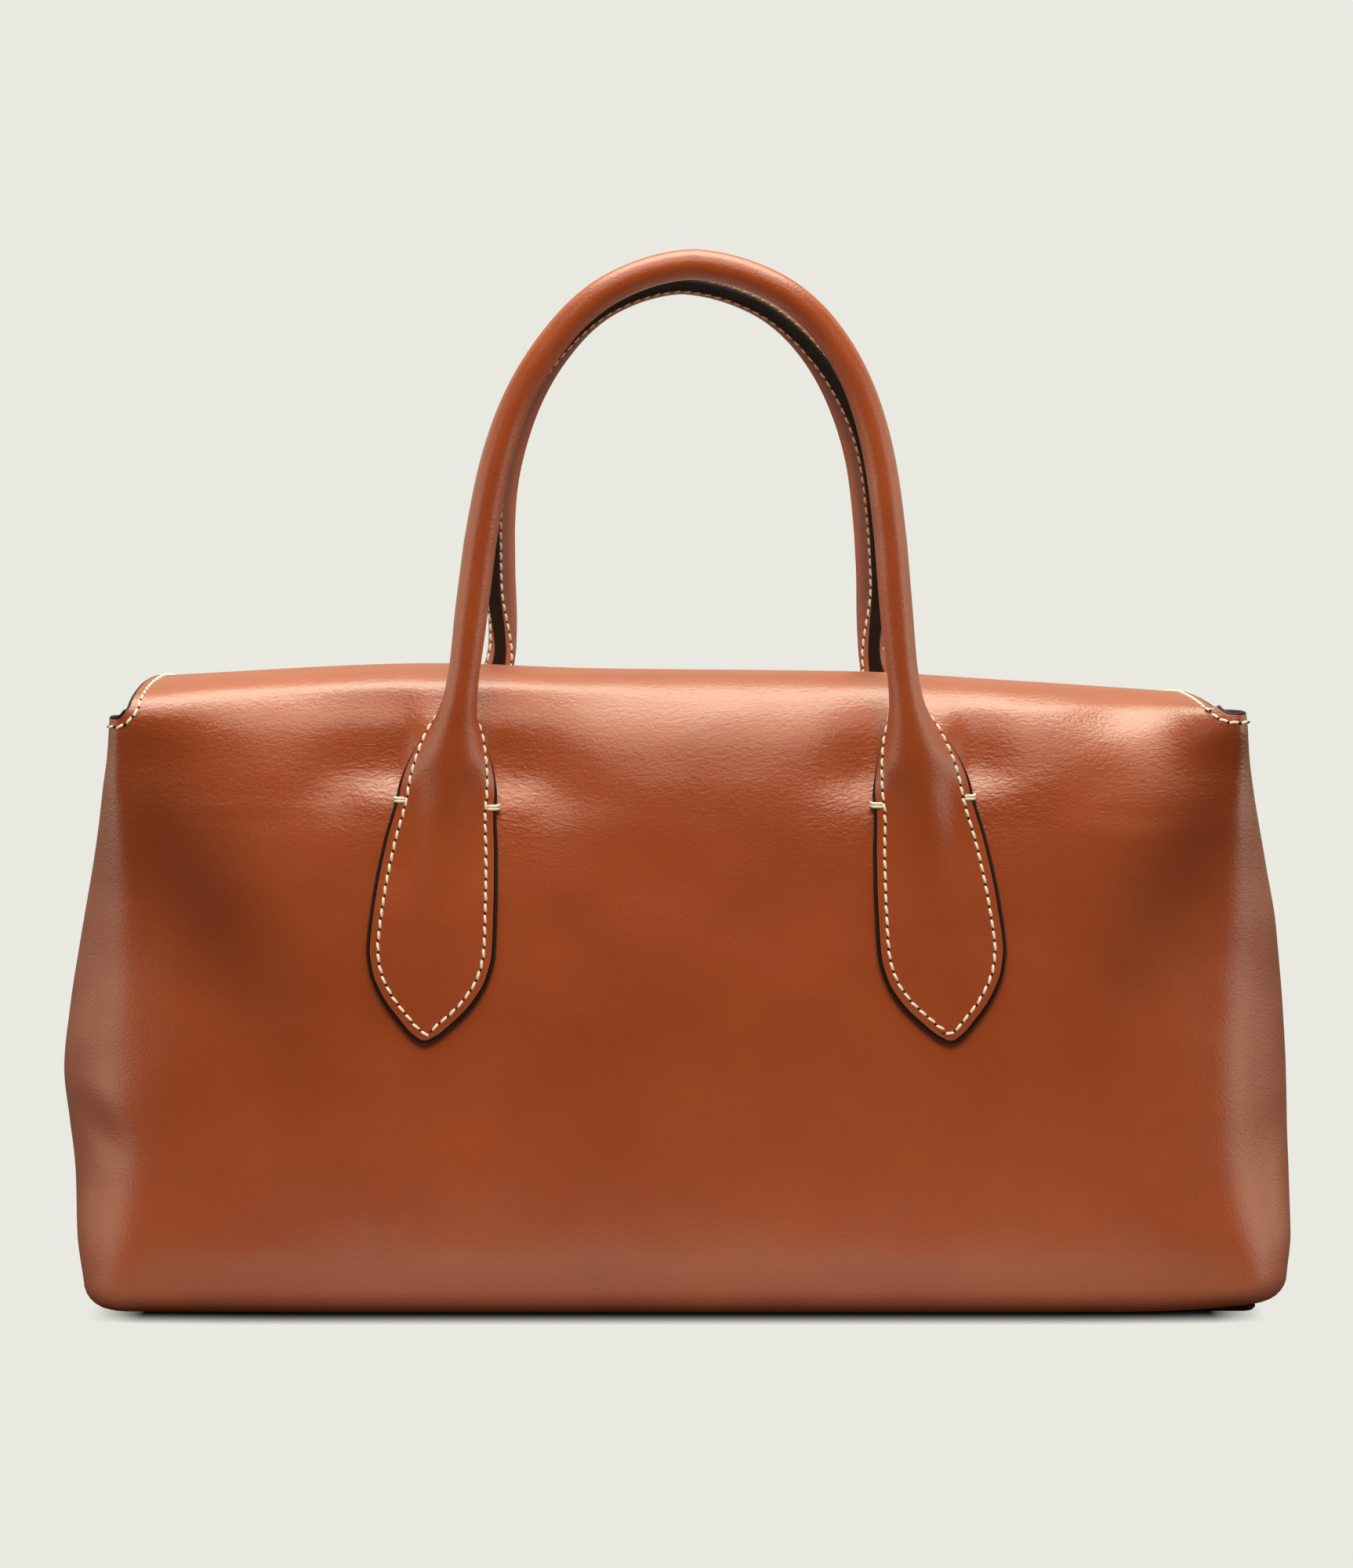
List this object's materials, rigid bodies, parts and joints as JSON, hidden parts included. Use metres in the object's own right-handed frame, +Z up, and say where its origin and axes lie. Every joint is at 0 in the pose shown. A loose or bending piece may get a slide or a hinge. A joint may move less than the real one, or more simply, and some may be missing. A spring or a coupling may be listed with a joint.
{
  "type": "travel bag",
  "caption": "Soft tan leather travel bag on a flat base, with a flap that rolls back over the top and rolled top handles on leaf-shaped tabs.",
  "frame": {"origin": "on the resting surface, under the middle of the bag", "axes": "+X along the bag's length, to the right seen from the front; the front faces -Y; +Z up"},
  "size_m": [0.4184, 0.1775, 0.3522],
  "materials": {
    "panel_leather": "smooth tan calf, softly polished",
    "handle_leather": "smooth tan calf, softly polished",
    "base_leather": "dark leather with painted edges",
    "edge_paint": "black edge paint",
    "thread": "cream waxed thread"
  },
  "bodies": {
    "root": {"front_panel": "panel_leather", "back_panel": "panel_leather", "base_panel": "base_leather", "handle_front": "handle_leather", "handle_back": "handle_leather"}
  },
  "joints": []
}
